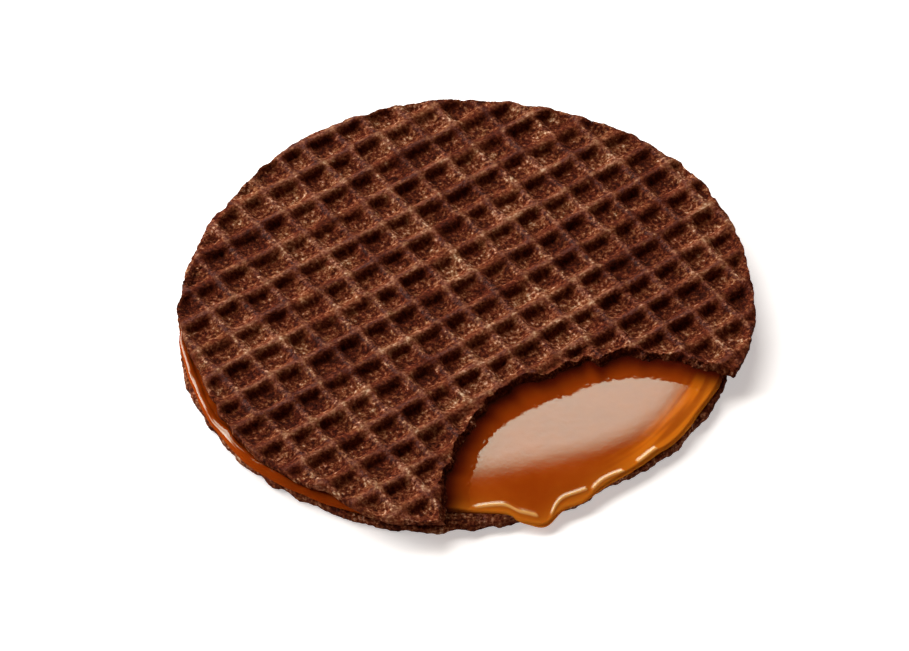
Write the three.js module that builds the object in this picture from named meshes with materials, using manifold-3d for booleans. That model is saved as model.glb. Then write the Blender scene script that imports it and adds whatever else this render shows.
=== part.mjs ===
// A stroopwafel: two thin waffled discs with a layer of soft caramel between them.
// A bite is gone from the upper wafer, so the caramel shows there and runs over the front rim.
// Millimetres, +Z up. The origin is the centre of the underside.

import * as THREE from 'three';
import { mergeVertices } from 'three/addons/utils/BufferGeometryUtils.js';
import Module from 'manifold-3d';

const wasm = await Module();
wasm.setup();

// ---------------------------------------------------------------- driving dimensions

const waferThickness = 1.8;
const caramelThickness = 1.2;
const clearance = 0.3; // between a wafer's side and the caramel beside it

// Places round a rim are angles in degrees, seen from above, anticlockwise from +X.
// A baked disc is never quite round: each swell moves its rim out, or in where it is negative.
const upperWafer = {
  radius: 50,
  centre: new THREE.Vector2(2.7, 0),
  seed: 11,
  swells: [
    { at: 38, halfWidth: 14, height: 0.7 },
    { at: 150, halfWidth: 14, height: -0.8 },
    { at: -141, halfWidth: 11, height: 1.2 },
    { at: -106, halfWidth: 8, height: 1.4 },
    { at: -21, halfWidth: 6, height: -1.2 },
  ],
};
const lowerWafer = {
  radius: 48.8,
  centre: new THREE.Vector2(0, 0),
  seed: 23,
  swells: [
    { at: 178, halfWidth: 14, height: -0.9 },
    { at: -104, halfWidth: 14, height: 1.4 },
    { at: -58, halfWidth: 9, height: -1.2 },
    { at: -20, halfWidth: 9, height: 0.5 },
  ],
};

const rim = { steps: 120, sway: 0.2, crumb: 0.35, bevel: 0.35 };

const grid = {
  angle: THREE.MathUtils.degToRad(35.3),
  pitchAlong: 6.07,
  pitchAcross: 6.21,
  depth: 1.0,
  crest: 1.1, // width of a ridge at its top
  foot: 2.4, // width of a ridge at a pocket's floor
  wanderAlong: 0.4,
  wanderAcross: 0.2,
};
// Where two ridges cross, nearest each wafer's centre, measured along and across the grid.
const upperCrossing = new THREE.Vector2(-1.43, 0.12);
const lowerCrossing = new THREE.Vector2(0, 0);

const bite = {
  centre: new THREE.Vector2(29.2, -43.5),
  radius: 31,
  steps: 96,
  lobes: 0.5,
  crumb: 0.45,
  slope: 0.7, // how much further back the wafer has broken at its top
  // The two corners are chipped off, and a splinter stands into the bite.
  swells: [
    { at: 50, halfWidth: 7, height: 2.2 },
    { at: -168, halfWidth: 5, height: 1.6 },
    { at: 98, halfWidth: 2.5, height: -1.1 },
  ],
};

const pool = {
  climb: 0.7, // how far the caramel clings up the broken face
  clingWidth: 2.4,
  fall: 0.75, // how far it sinks towards the rim
  fallWidth: 10,
  roll: 0.3, // the raised edge along the lip
  rollWidth: 0.7,
  rollInset: 1.1,
};

const bead = { from: -168, to: -100, fade: 10, reach: 49.3, height: 3.05, thickness: 0.85 };
const lip = { from: -97, to: -18, fade: 5, reach: 48.7, height: 2.35, thickness: 0.6 };
const drip = { at: -72.8, halfWidth: 4, height: 2.6, sag: 1.0, thickness: 0.3 };
const runs = [
  { at: -88, halfWidth: 7, height: -0.7 },
  { at: -60.5, halfWidth: 2.4, height: 0.5 },
  { at: -46, halfWidth: 2.0, height: 0.4 },
];
const hidden = { reach: 48.1, height: 2.4, thickness: 0.55 }; // where the rims cover the layer

const caramelBase = waferThickness;
const caramelTop = caramelBase + caramelThickness;
const waferTop = caramelTop + waferThickness;
const beyond = 5; // how far a cutter runs past what it cuts

const colours = { wafer: 0x58301f, rim: 0x4a2415, caramel: 0xb2580f };

// ---------------------------------------------------------------- small helpers

function seededRandom(seed) {
  let state = seed;
  return () => {
    state = (state * 1664525 + 1013904223) % 4294967296;
    return state / 4294967296;
  };
}

// A smooth closed wave through `count` random heights from -1 to 1, read at an angle.
function ringNoise(count, seed) {
  const random = seededRandom(seed);
  const heights = Array.from({ length: count }, () => random() * 2 - 1);
  return (angle) => {
    const place = (((angle / (Math.PI * 2)) % 1) + 1) * count;
    const first = Math.floor(place);
    const share = THREE.MathUtils.smoothstep(place - first, 0, 1);
    return THREE.MathUtils.lerp(heights[first % count], heights[(first + 1) % count], share);
  };
}

const degrees = THREE.MathUtils.radToDeg;

// A soft hump of height 1 round a place on a rim, whichever way round the angle is counted.
function hump(angle, { at, halfWidth }) {
  const away = THREE.MathUtils.euclideanModulo(degrees(angle) - at + 180, 360) - 180;
  return Math.exp(-((away / halfWidth) ** 2));
}

function swelling(angle, swells) {
  return swells.reduce((sum, swell) => sum + swell.height * hump(angle, swell), 0);
}

function atAngle(centre, radius, angle) {
  return new THREE.Vector2(Math.cos(angle), Math.sin(angle)).multiplyScalar(radius).add(centre);
}

function anglesRound(steps) {
  return Array.from({ length: steps }, (_, index) => (index / steps) * Math.PI * 2);
}

// Turns a closed three.js geometry into a solid that can be joined or cut.
function solid(geometry) {
  const bare = geometry.clone();
  bare.deleteAttribute('normal');
  bare.deleteAttribute('uv');
  const merged = mergeVertices(bare, 1e-5);
  return new wasm.Manifold(
    new wasm.Mesh({
      numProp: 3,
      vertProperties: new Float32Array(merged.attributes.position.array),
      triVerts: new Uint32Array(merged.index.array),
    }),
  );
}

function meshOf(name, body, colour, roughness) {
  const { vertProperties, triVerts } = body.getMesh();
  const geometry = new THREE.BufferGeometry();
  geometry.setAttribute('position', new THREE.BufferAttribute(vertProperties, 3));
  geometry.setIndex(new THREE.BufferAttribute(triVerts, 1));
  geometry.computeVertexNormals();
  const material = new THREE.MeshStandardMaterial({ color: colour, roughness, metalness: 0 });
  const mesh = new THREE.Mesh(geometry, material);
  mesh.name = name;
  return mesh;
}

// A straight-sided slab over a closed outline, from one height to another.
function slab(outline, bottom, top) {
  const geometry = new THREE.ExtrudeGeometry(new THREE.Shape(outline), {
    depth: top - bottom,
    bevelEnabled: false,
  });
  return solid(geometry.translate(0, 0, bottom));
}

// ---------------------------------------------------------------- outlines

// The rim sways gently, crumbles finely, and `spread` moves all of it outwards.
function waferOutline(wafer, spread = 0) {
  const sway = ringNoise(14, wafer.seed);
  const crumb = ringNoise(rim.steps, wafer.seed + 1);
  return anglesRound(rim.steps).map((angle) => {
    const uneven = rim.sway * sway(angle) + rim.crumb * crumb(angle);
    const radius = wafer.radius + uneven + swelling(angle, wafer.swells);
    return atAngle(wafer.centre, radius + spread, angle);
  });
}

const biteLobes = ringNoise(18, 5);
const biteCrumb = ringNoise(bite.steps, 7);

function biteRadius(angle) {
  const uneven = bite.lobes * biteLobes(angle) + bite.crumb * biteCrumb(angle);
  return bite.radius + uneven + swelling(angle, bite.swells);
}

function biteOutline(spread) {
  return anglesRound(bite.steps).map((angle) => {
    return atAngle(bite.centre, biteRadius(angle) + spread, angle);
  });
}

// The bitten-away space: its wall leans back a little towards the top of the wafer.
function biteCutter(spread) {
  const height = waferThickness + beyond * 2;
  const geometry = new THREE.ExtrudeGeometry(new THREE.Shape(biteOutline(spread)), {
    depth: height,
    bevelEnabled: false,
  });
  const leanPerMillimetre = bite.slope / waferThickness;
  const position = geometry.attributes.position;
  const point = new THREE.Vector2();
  for (let index = 0; index < position.count; index += 1) {
    const rise = position.getZ(index) - beyond;
    point.set(position.getX(index), position.getY(index)).sub(bite.centre);
    point.setLength(point.length() + rise * leanPerMillimetre).add(bite.centre);
    position.setXY(index, point.x, point.y);
  }
  return solid(geometry.translate(0, 0, caramelTop - beyond));
}

// ---------------------------------------------------------------- waffled discs

// One pocket: a box whose floor is drawn in, running up past the wafer's face.
function pocketGeometry(sides, facing) {
  const run = (grid.foot - grid.crest) / 2;
  const overshoot = run / grid.depth;
  const geometry = new THREE.BoxGeometry(1, 1, 1 + grid.depth);
  const position = geometry.attributes.position;
  for (let index = 0; index < position.count; index += 1) {
    const atFloor = position.getZ(index) < 0;
    const draw = atFloor ? run : -overshoot;
    const along = position.getX(index) < 0 ? sides.left + draw : sides.right - draw;
    const across = position.getY(index) < 0 ? sides.near + draw : sides.far - draw;
    const height = atFloor ? -grid.depth : 1;
    position.setXYZ(index, along, across, height);
  }
  if (facing < 0) {
    geometry.rotateX(Math.PI);
  }
  return geometry.rotateZ(grid.angle);
}

// Every pocket that reaches a wafer's face. Ridges wander from cell to cell.
function pocketCutter(wafer, crossing, face, facing) {
  const random = seededRandom(wafer.seed + 2);
  const reach = Math.ceil(wafer.radius / grid.pitchAlong) + 1;
  const count = reach * 2 + 1;
  const wander = Array.from({ length: (count + 1) * (count + 1) }, () => ({
    along: (random() * 2 - 1) * grid.wanderAlong,
    across: (random() * 2 - 1) * grid.wanderAcross,
  }));
  const wanderAt = (column, row) => wander[(row + reach) * (count + 1) + column + reach];
  const half = grid.crest / 2;
  const pockets = [];
  for (let row = -reach; row < reach; row += 1) {
    for (let column = -reach; column < reach; column += 1) {
      const alongStart = column * grid.pitchAlong + crossing.x;
      const acrossStart = (row * grid.pitchAcross + crossing.y) * facing;
      const middle = Math.hypot(
        alongStart + grid.pitchAlong / 2,
        acrossStart + (grid.pitchAcross / 2) * facing,
      );
      if (middle > wafer.radius + grid.crest) {
        continue;
      }
      const nearRidge = acrossStart * facing + wanderAt(column, row).across;
      const farRidge = acrossStart * facing + grid.pitchAcross + wanderAt(column, row + 1).across;
      const sides = {
        left: alongStart + wanderAt(column, row).along + half,
        right: alongStart + grid.pitchAlong + wanderAt(column + 1, row).along - half,
        near: nearRidge + half,
        far: farRidge - half,
      };
      const geometry = pocketGeometry(sides, facing);
      geometry.translate(wafer.centre.x, wafer.centre.y, face);
      pockets.push(solid(geometry));
    }
  }
  return wasm.Manifold.union(pockets);
}

function disc(wafer, bottom) {
  const geometry = new THREE.ExtrudeGeometry(new THREE.Shape(waferOutline(wafer, -rim.bevel)), {
    depth: waferThickness - rim.bevel * 2,
    bevelThickness: rim.bevel,
    bevelSize: rim.bevel,
    bevelSegments: 1,
  });
  return solid(geometry.translate(0, 0, bottom + rim.bevel));
}

function makeUpperWafer() {
  const pockets = pocketCutter(upperWafer, upperCrossing, waferTop, 1);
  return disc(upperWafer, caramelTop).subtract(biteCutter(0)).subtract(pockets);
}

function makeLowerWafer() {
  const pockets = pocketCutter(lowerWafer, lowerCrossing, 0, -1);
  return disc(lowerWafer, 0).subtract(pockets);
}

// ---------------------------------------------------------------- caramel

// 1 inside a stretch of the rim, fading to 0 past its ends.
function stretch(angle, { from, to, fade }) {
  const degree = degrees(angle);
  const rise = THREE.MathUtils.smoothstep(degree, from - fade, from + fade);
  return rise * (1 - THREE.MathUtils.smoothstep(degree, to - fade, to + fade));
}

// How far the layer reaches at an angle, how high its edge lies, and half its thickness there.
function edgeAt(angle) {
  const edge = { ...hidden };
  for (const part of [bead, lip]) {
    const share = stretch(angle, part);
    edge.reach = THREE.MathUtils.lerp(edge.reach, part.reach, share);
    edge.height = THREE.MathUtils.lerp(edge.height, part.height, share);
    edge.thickness = THREE.MathUtils.lerp(edge.thickness, part.thickness, share);
  }
  const hang = hump(angle, drip);
  edge.reach += swelling(angle, [drip, ...runs]);
  edge.height -= drip.sag * hang;
  edge.thickness += drip.thickness * hang;
  return edge;
}

// The free surface in the bite: it clings to the broken face, sinks to the rim and rolls over it.
function surfaceHeight(angle, radius, edge) {
  const point = atAngle(lowerWafer.centre, radius, angle);
  const fromCentre = point.clone().sub(bite.centre);
  const fromWall = bite.radius - fromCentre.length();
  const fromEdge = edge.reach - radius;
  const cling = pool.climb * Math.exp(-Math.max(fromWall, 0) / pool.clingWidth);
  const fall = pool.fall * (1 - THREE.MathUtils.smoothstep(fromEdge, 0, pool.fallWidth));
  const roll = pool.roll * Math.exp(-(((fromEdge - pool.rollInset) / pool.rollWidth) ** 2));
  return caramelTop + cling - fall + roll * stretch(angle, lip);
}

const surfaceSteps = 18;
const noseSteps = 6;

// Angles round the layer, closest together along the lip and its drip.
function caramelAngle(share) {
  const openStart = -112;
  const openEnd = -12;
  const openShare = 0.6;
  const degree = share < openShare
    ? THREE.MathUtils.mapLinear(share, 0, openShare, openStart, openEnd)
    : THREE.MathUtils.mapLinear(share, openShare, 1, openEnd, openStart + 360);
  return THREE.MathUtils.degToRad(degree > 180 ? degree - 360 : degree);
}

// One side of the layer in section: from the middle of the base, round the edge, back over the top.
function sectionPoint(angle, step) {
  const edge = edgeAt(angle);
  const inner = edge.reach - edge.thickness;
  if (step === 0) {
    return new THREE.Vector2(0, caramelBase - clearance);
  }
  if (step <= noseSteps) {
    const turn = Math.PI * THREE.MathUtils.mapLinear(step, 1, noseSteps, -0.5, 0.25);
    return new THREE.Vector2(
      inner + edge.thickness * Math.cos(turn),
      edge.height + edge.thickness * Math.sin(turn),
    );
  }
  const share = (noseSteps + surfaceSteps - step) / (surfaceSteps - 1);
  const radius = inner * Math.sqrt(share);
  return new THREE.Vector2(radius, surfaceHeight(angle, radius, edge));
}

function caramelBlank() {
  const turns = 128;
  const steps = surfaceSteps + noseSteps + 1;
  const outline = Array.from({ length: steps }, (_, step) => new THREE.Vector2(1, step));
  const geometry = new THREE.LatheGeometry(outline, turns);
  const position = geometry.attributes.position;
  for (let index = 0; index < position.count; index += 1) {
    const turn = Math.floor(index / steps) % turns;
    const angle = caramelAngle(turn / turns);
    const section = sectionPoint(angle, index % steps);
    const place = atAngle(lowerWafer.centre, section.x, angle);
    position.setXYZ(index, place.x, place.y, section.y);
  }
  return solid(geometry);
}

function makeCaramel() {
  const upperRoom = slab(waferOutline(upperWafer, clearance), caramelTop, waferTop + beyond);
  const lowerRoom = slab(waferOutline(lowerWafer, clearance), -beyond, caramelBase);
  return caramelBlank().subtract(upperRoom.subtract(biteCutter(-clearance))).subtract(lowerRoom);
}

// ---------------------------------------------------------------- the stroopwafel

const stroopwafel = new THREE.Group();
stroopwafel.add(meshOf('lower_wafer', makeLowerWafer(), colours.rim, 0.85));
stroopwafel.add(meshOf('caramel_filling', makeCaramel(), colours.caramel, 0.12));
stroopwafel.add(meshOf('upper_wafer', makeUpperWafer(), colours.wafer, 0.8));

export default stroopwafel;
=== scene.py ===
# %% [markdown]
# # A stroopwafel with a bite in it
#
# Two thin cocoa wafers, pressed with a grid of squares, hold a layer of soft caramel. One bite
# is gone from the upper wafer, and there the caramel lies open, runs to the rim and hangs over
# it in one heavy drip.
#
# The imported model is the fixed frame. It says where each piece lies and how thick it is. The
# pieces made here stand in the same places, with the crumb, the ridges with their wear and some
# painted light and shade, and the glossy skin that a plain solid leaves out.

# %% Load the imported model
import itertools
import math

import bpy
import numpy as np
from mathutils import Matrix, Vector


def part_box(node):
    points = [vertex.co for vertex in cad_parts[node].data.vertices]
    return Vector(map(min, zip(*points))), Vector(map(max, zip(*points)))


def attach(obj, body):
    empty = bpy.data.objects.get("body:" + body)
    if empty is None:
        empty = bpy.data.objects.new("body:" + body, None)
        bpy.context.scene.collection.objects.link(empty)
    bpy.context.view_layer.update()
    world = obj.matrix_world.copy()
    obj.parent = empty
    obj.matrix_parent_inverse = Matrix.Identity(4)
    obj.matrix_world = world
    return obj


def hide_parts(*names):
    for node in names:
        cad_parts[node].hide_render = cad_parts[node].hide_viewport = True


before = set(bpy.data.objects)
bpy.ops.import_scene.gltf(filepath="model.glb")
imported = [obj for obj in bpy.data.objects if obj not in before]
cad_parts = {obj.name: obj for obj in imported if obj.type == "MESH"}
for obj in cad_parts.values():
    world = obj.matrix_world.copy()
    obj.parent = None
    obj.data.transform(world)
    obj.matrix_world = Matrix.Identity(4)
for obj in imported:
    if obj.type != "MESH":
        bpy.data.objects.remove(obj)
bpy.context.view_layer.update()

# %% [markdown]
# ## The camera
#
# A biscuit shot from close by shows strong perspective, and one shot from far off with a long
# lens shows almost none. This view is of the second kind, from a good arm's length away. The
# camera could be placed by its coordinates, but a point to aim at, a distance and two angles
# say more: the camera looks down at the biscuit from 47 degrees and leans a little to one side.

# %% Place the camera
mm = 0.001
camera_aim = Vector((0.14, -1.42, 0.0)) * mm
camera_distance = 968.8 * mm
camera_elevation = math.radians(47.28)
camera_roll = math.radians(0.78)
sensor_width = 36.0
focal_length = 219.36

camera_data = bpy.data.cameras.new("camera")
camera_data.sensor_fit = "HORIZONTAL"
camera_data.sensor_width = sensor_width
camera_data.lens = focal_length
camera = bpy.data.objects.new("camera", camera_data)
bpy.context.scene.collection.objects.link(camera)

backwards = Vector((0, -math.cos(camera_elevation), math.sin(camera_elevation)))
level_right = Vector((1, 0, 0))
level_up = backwards.cross(level_right)
right = level_right * math.cos(camera_roll) - level_up * math.sin(camera_roll)
up = level_up * math.cos(camera_roll) + level_right * math.sin(camera_roll)
turn = Matrix((right, up, backwards)).transposed()
camera.matrix_world = Matrix.Translation(camera_aim + backwards * camera_distance) @ turn.to_4x4()
bpy.context.scene.camera = camera
print("camera", [round(value, 4) for value in camera.matrix_world.translation])

# %% [markdown]
# ## One softbox from behind
#
# Food with a glossy filling is lit from behind: the light skims the ridges, leaves the near
# side of each ridge dark, and mirrors in the caramel as one pale patch. A lamp made of many
# small ones would break that patch up, so a single wide softbox is used. Its cloth is darker and
# warmer towards its edges, as a real one's is, and that gives the patch its soft lower edge. One
# side is brighter, which lights the flanks of the crossing ridges. It hangs far enough away to
# stay out of every view.

# %% A small kit for node trees
def feed(tree, socket, value):
    """Links a value that comes from a node, or writes a plain one."""
    if isinstance(value, bpy.types.NodeSocket):
        tree.links.new(value, socket)
    else:
        socket.default_value = value


def put(tree, kind, inputs=None, **settings):
    """Adds one node, with its settings and inputs, and returns it."""
    made = tree.nodes.new("ShaderNode" + kind)
    for name, value in settings.items():
        setattr(made, name, value)
    for name, value in (inputs or {}).items():
        feed(tree, made.inputs[name], value)
    return made


def calculate(tree, operation, first, second=0.0):
    return put(tree, "Math", {0: first, 1: second}, operation=operation).outputs[0]


def ramp(tree, value, low, high, out_low=0.0, out_high=1.0):
    """Stretches low..high to out_low..out_high, smoothly, and holds the ends."""
    inputs = {0: value, 1: low, 2: high, 3: out_low, 4: out_high}
    return put(tree, "MapRange", inputs, interpolation_type="SMOOTHSTEP").outputs[0]


def blend(tree, share, first, second, how="MIX"):
    """Mixes two colours by a share from 0 to 1."""
    inputs = {0: share, 6: first, 7: second}
    return put(tree, "Mix", inputs, data_type="RGBA", blend_type=how).outputs[2]


def add_part(tree, total, value, share):
    """Adds a share of a value to a total."""
    return calculate(tree, "ADD", total, calculate(tree, "MULTIPLY", value, share))


def set_inputs(node, values):
    """Writes plain values on a node's own sockets."""
    for name, value in values.items():
        node.inputs[name].default_value = value


def start_material(name):
    """A new material, its node tree and its shader."""
    material = bpy.data.materials.new(name)
    material.use_nodes = True
    return material, material.node_tree, material.node_tree.nodes["Principled BSDF"]


print("node kit ready")

# %% Hang the softbox
softbox_azimuth = math.radians(128)
softbox_elevation = math.radians(34)
softbox_lean = math.radians(-16)
softbox_distance = 1.5
softbox_half_width = 0.96
softbox_half_height = 0.46
softbox_shift = 0.18
softbox_power = 105.0
cloth_fades = (0.075, 0.28)
warm_edge = (1, 0.86, 0.55, 1)
brighter_side = 1.6

softbox_data = bpy.data.lights.new("softbox", "AREA")
softbox_data.shape = "RECTANGLE"
softbox_data.size = 2 * softbox_half_width * softbox_distance
softbox_data.size_y = 2 * softbox_half_height * softbox_distance
softbox_data.energy = softbox_power
softbox_data.use_nodes = True
lamp = softbox_data.node_tree
across_cloth = put(lamp, "NewGeometry").outputs["Parametric"]
cloth = put(lamp, "SeparateXYZ", {0: across_cloth})
fades = []
for place, fade in zip(cloth.outputs, cloth_fades):
    from_edge = calculate(lamp, "PINGPONG", place, 0.5)
    fades.append(ramp(lamp, from_edge, 0.0, fade))
glow = calculate(lamp, "MULTIPLY", *fades)
emission = lamp.nodes["Emission"]
feed(lamp, emission.inputs["Color"], blend(lamp, glow, warm_edge, (1, 1, 1, 1)))
# The flash tube hangs off the middle of the box, so one side of the cloth is brighter.
to_side = ramp(lamp, cloth.outputs[0], 0.35, 0.85, 1.0, brighter_side)
feed(lamp, emission.inputs["Strength"], calculate(lamp, "MULTIPLY", glow, to_side))

softbox = bpy.data.objects.new("softbox", softbox_data)
bpy.context.scene.collection.objects.link(softbox)
towards = Vector((
    math.cos(softbox_elevation) * math.cos(softbox_azimuth),
    math.cos(softbox_elevation) * math.sin(softbox_azimuth),
    math.sin(softbox_elevation),
))
facing_out = towards.to_track_quat("Z", "Y").to_matrix()
turned = facing_out @ Matrix.Rotation(softbox_lean, 3, "Z")
sideways = turned @ Vector((softbox_shift, 0, 0))
softbox.matrix_world = Matrix.Translation((towards + sideways) * softbox_distance) @ turned.to_4x4()
softbox.visible_camera = False
print("softbox at", [round(value, 2) for value in softbox.location])

# %% [markdown]
# ## A pale floor and a little room light
#
# The floor is a white matt board. It could be a single flat white, but a real board has a faint
# tooth, so its colour and its roughness vary a touch. It also glows faintly, as a photographer's
# light table does. That keeps the shadow weak and sends a little light up under the rims. It is
# kept out of mirror reflections, because white mirrored in the caramel's bead hides its colour.
# The room adds a weak warm light from all round, so that the pockets' dark sides don't go quite
# black.

# %% Lay the floor and light the room
floor_half = 3.0
bpy.ops.mesh.primitive_plane_add(size=2 * floor_half, location=(0, 0, 0))
floor = bpy.context.object
floor.name = "floor"
paint, board, board_shader = start_material("white_board")
tooth = put(board, "TexNoise", {"Scale": 60.0, "Detail": 3.0}).outputs["Fac"]
white = blend(board, tooth, (0.86, 0.855, 0.85, 1), (0.9, 0.895, 0.89, 1))
feed(board, board_shader.inputs["Base Color"], white)
feed(board, board_shader.inputs["Roughness"], ramp(board, tooth, 0.0, 1.0, 0.7, 0.85))
set_inputs(board_shader, {
    "Specular IOR Level": 0.2, "Emission Color": (1, 1, 1, 1), "Emission Strength": 0.45,
})
floor.data.materials.append(paint)
floor.visible_glossy = False

room = bpy.data.worlds.new("room")
bpy.context.scene.world = room
room.use_nodes = True
set_inputs(room.node_tree.nodes["Background"], {"Color": (1.0, 0.38, 0.18, 1), "Strength": 0.09})
bpy.context.scene.view_settings.view_transform = "Standard"
print("floor and room ready")

# %% [markdown]
# ## Heights read from the frame
#
# The biscuit is a stack: lower wafer, caramel, upper wafer. The frame's boxes give each
# wafer's two faces, so the pieces made here can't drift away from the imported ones. The shapes
# are worked out in millimetres and turned into metres when a mesh is made.

# %% Read the stack
lower_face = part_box("lower_wafer")[0].z / mm
lower_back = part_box("lower_wafer")[1].z / mm
upper_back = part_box("upper_wafer")[0].z / mm
upper_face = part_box("upper_wafer")[1].z / mm
print(f"lower wafer {lower_face:.2f} to {lower_back:.2f}, upper {upper_back:.2f} to {upper_face:.2f}")

# %% [markdown]
# ## Unevenness
#
# Nothing baked is even. Two kinds of noise make it so. One runs round a rim and comes back to
# where it began: it is the same rule, with the same seeds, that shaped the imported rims, so the
# rims stay within a millimetre of those. The other fills space with soft random bumps of a given
# size, and a few layers of it, each half as large, make crumb.

# %% Noise round a rim, and noise in space
def smooth(share):
    share = np.clip(share, 0, 1)
    return share * share * (3 - 2 * share)


def seeded_heights(count, seed):
    """Heights from -1 to 1 by a plain congruential rule, the same on every machine."""
    heights = []
    state = seed
    for _ in range(count):
        state = (state * 1664525 + 1013904223) % 4294967296
        heights.append(state / 4294967296 * 2 - 1)
    return np.array(heights)


def ring_noise(angle, count, seed):
    heights = seeded_heights(count, seed)
    place = (angle / (2 * np.pi)) % 1 * count
    first = np.floor(place).astype(int)
    share = smooth(place - first)
    return heights[first % count] * (1 - share) + heights[(first + 1) % count] * share


def space_noise(points, size, seed):
    """One layer of soft bumps from -1 to 1, each about `size` millimetres across."""
    side = 64
    heights = np.random.default_rng(seed).uniform(-1, 1, (side, side, side))
    place = points / size
    first = np.floor(place).astype(int)
    share = smooth(place - first)
    total = np.zeros(len(points))
    for corner in itertools.product((0, 1), repeat=3):
        weight = np.prod(np.where(corner, share, 1 - share), axis=1)
        index = (first + corner) % side
        total += weight * heights[index[:, 0], index[:, 1], index[:, 2]]
    return total


# Turned a little, so that no bump lines up with a wafer's ridges or faces.
tilt = np.array(Matrix.Rotation(0.9, 3, Vector((0.3, 0.5, 0.8))))


def crumb(points, size, seed, layers=3):
    """Layered bumps: each layer is half the size and about half the height of the one before."""
    turned = points @ tilt.T
    total = np.zeros(len(points))
    for layer in range(layers):
        total += space_noise(turned, size / 2 ** layer, seed + layer) * 0.55 ** layer
    return total


print("a few crumb heights", crumb(np.eye(3) * 5, 1.0, 1).round(2))

# %% [markdown]
# ## The rims
#
# A baked disc is never quite round. Its rim swells in places, sways gently and crumbles. Places
# round a rim are angles in degrees, seen from above, anticlockwise from +X.

# %% Where each rim runs
rim_sway = 0.2
rim_crumb = 0.35
rim_steps = 120

upper_wafer = {
    "radius": 50.0,
    "centre": (2.7, 0.0),
    "seed": 11,
    "swells": [
        (38, 14, 0.7), (150, 14, -0.8), (-178, 8, 0.6), (-159, 9, -0.7),
        (-138, 8, 0.5), (-120, 6, -0.5), (-105, 8, 1.3), (-21, 6, -1.2),
    ],
}
lower_wafer = {
    "radius": 48.8,
    "centre": (0.0, 0.0),
    "seed": 23,
    "swells": [
        (178, 14, -0.9), (-162, 10, 0.3), (-134, 13, 0.6), (-104, 14, 1.4),
        (-57, 8, -1.0), (-42, 8, 0.3), (-24, 12, 0.8),
    ],
}


def hump(angle, at, half_width):
    """A soft hump of height 1 at a place on a rim."""
    away = (np.degrees(angle) - at + 180) % 360 - 180
    return np.exp(-((away / half_width) ** 2))


def swelling(angle, swells):
    return sum(height * hump(angle, at, half_width) for at, half_width, height in swells)


def rim_radius(wafer, angle):
    sway = rim_sway * ring_noise(angle, 14, wafer["seed"])
    fine = rim_crumb * ring_noise(angle, rim_steps, wafer["seed"] + 1)
    return wafer["radius"] + sway + fine + swelling(angle, wafer["swells"])


def around(points, centre):
    """The angle and the distance of points from a centre, seen from above."""
    away = points[:, :2] - np.array(centre)
    return np.arctan2(away[:, 1], away[:, 0]), np.hypot(away[:, 0], away[:, 1])


def inside_rim(wafer, points):
    """How far inside a wafer's rim each point lies."""
    angle, distance = around(points, wafer["centre"])
    return rim_radius(wafer, angle) - distance


print("upper rim at 0 degrees:", rim_radius(upper_wafer, np.zeros(1)).round(2))

# %% [markdown]
# ## The bite
#
# Teeth take out a round piece, but a brittle wafer doesn't follow them neatly. Its two corners
# chip off, and a broad bulge and a splinter stand into the gap. The break leans too: its foot
# stands further in than its upper edge.

# %% Where the bite runs
bite_centre = (29.2, -43.5)
bite_radius_mean = 31.0
bite_foot = -0.6
bite_lean = 1.35
bite_swells = [(50, 7, 2.2), (-168, 5, 1.6), (98, 2.5, -1.1), (115, 9, -1.3)]


def bite_radius(angle):
    lobes = 0.5 * ring_noise(angle, 18, 5)
    fine = 0.45 * ring_noise(angle, 96, 7)
    return bite_radius_mean + lobes + fine + swelling(angle, bite_swells)


def inside_bite(points):
    """How far inside the bite each point lies. It is negative on the wafer."""
    angle, distance = around(points, bite_centre)
    return bite_radius(angle) - distance


print("bite reaches", inside_bite(np.array([[29.2, -43.5, 0.0]])).round(2), "mm from its middle")

# %% [markdown]
# ## The pressed squares
#
# Each wafer is baked between two hot plates cut with grooves. The plates leave ridges in two
# directions, with a square pocket between each four. A bump map could fake them, but from the
# side it would look flat, so the ridges are real. The mesh runs along them: its lines lie close
# together where a ridge rises and further apart on the floor of a pocket. The ridges that run
# up and to the right are high and even. The ones that cross them are lower, and each short
# piece of them sits a little off its neighbours.

# %% Lines of the mesh, closest at the ridges
grid_angle = math.radians(35.3)
grid_cos, grid_sin = math.cos(grid_angle), math.sin(grid_angle)
grid_bow = 1.1
pitch_along = 6.15
pitch_across = 6.21
pocket_depth = 1.3
wander_along = 0.5
wander_across = 0.35
upper_crossing = (-1.2, -0.75)
lower_crossing = (0.0, 0.0)


def mesh_lines(reach, pitch, ridge_stops, floor_stops):
    """Places of the mesh lines, counted in pockets, from -reach to reach."""
    near = np.array(ridge_stops) / pitch
    floor_places = np.linspace(near[-1], 1 - near[-1], floor_stops + 2)[1:-1]
    one = np.concatenate([near, floor_places, 1 - near[:0:-1]])
    lines = np.concatenate([one + column for column in range(-reach, reach)])
    return np.append(lines, reach)


upper_stops = (0.0, 0.2, 0.4, 0.6, 0.84, 1.08, 1.3, 1.55, 1.85)
lower_stops = (0.0, 0.4, 0.8, 1.2, 1.6)
print("upper mesh lines", len(mesh_lines(9, pitch_along, upper_stops, 5)))

# %% How the ridges wander and how high they stand
def wander_tables(wafer):
    """How far each short piece of ridge sits off its line, along and across the grid."""
    reach = math.ceil(wafer["radius"] / pitch_along) + 1
    side = reach * 2 + 2
    drawn = seeded_heights(side * side * 2, wafer["seed"] + 2).reshape(side, side, 2)
    return reach, drawn[:, :, 0] * wander_along, drawn[:, :, 1] * wander_across


def look_up(table, row, column):
    last = len(table) - 1
    return table[np.clip(row, 0, last), np.clip(column, 0, last)]


def join_pieces(before, here, after, share, run=0.16):
    """Steps from one piece of ridge to the next, within a short run at each crossing."""
    from_before = 0.5 * (1 - smooth(share / run))
    to_after = 0.5 * (1 - smooth((1 - share) / run))
    return here + (before - here) * from_before + (after - here) * to_after


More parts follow.
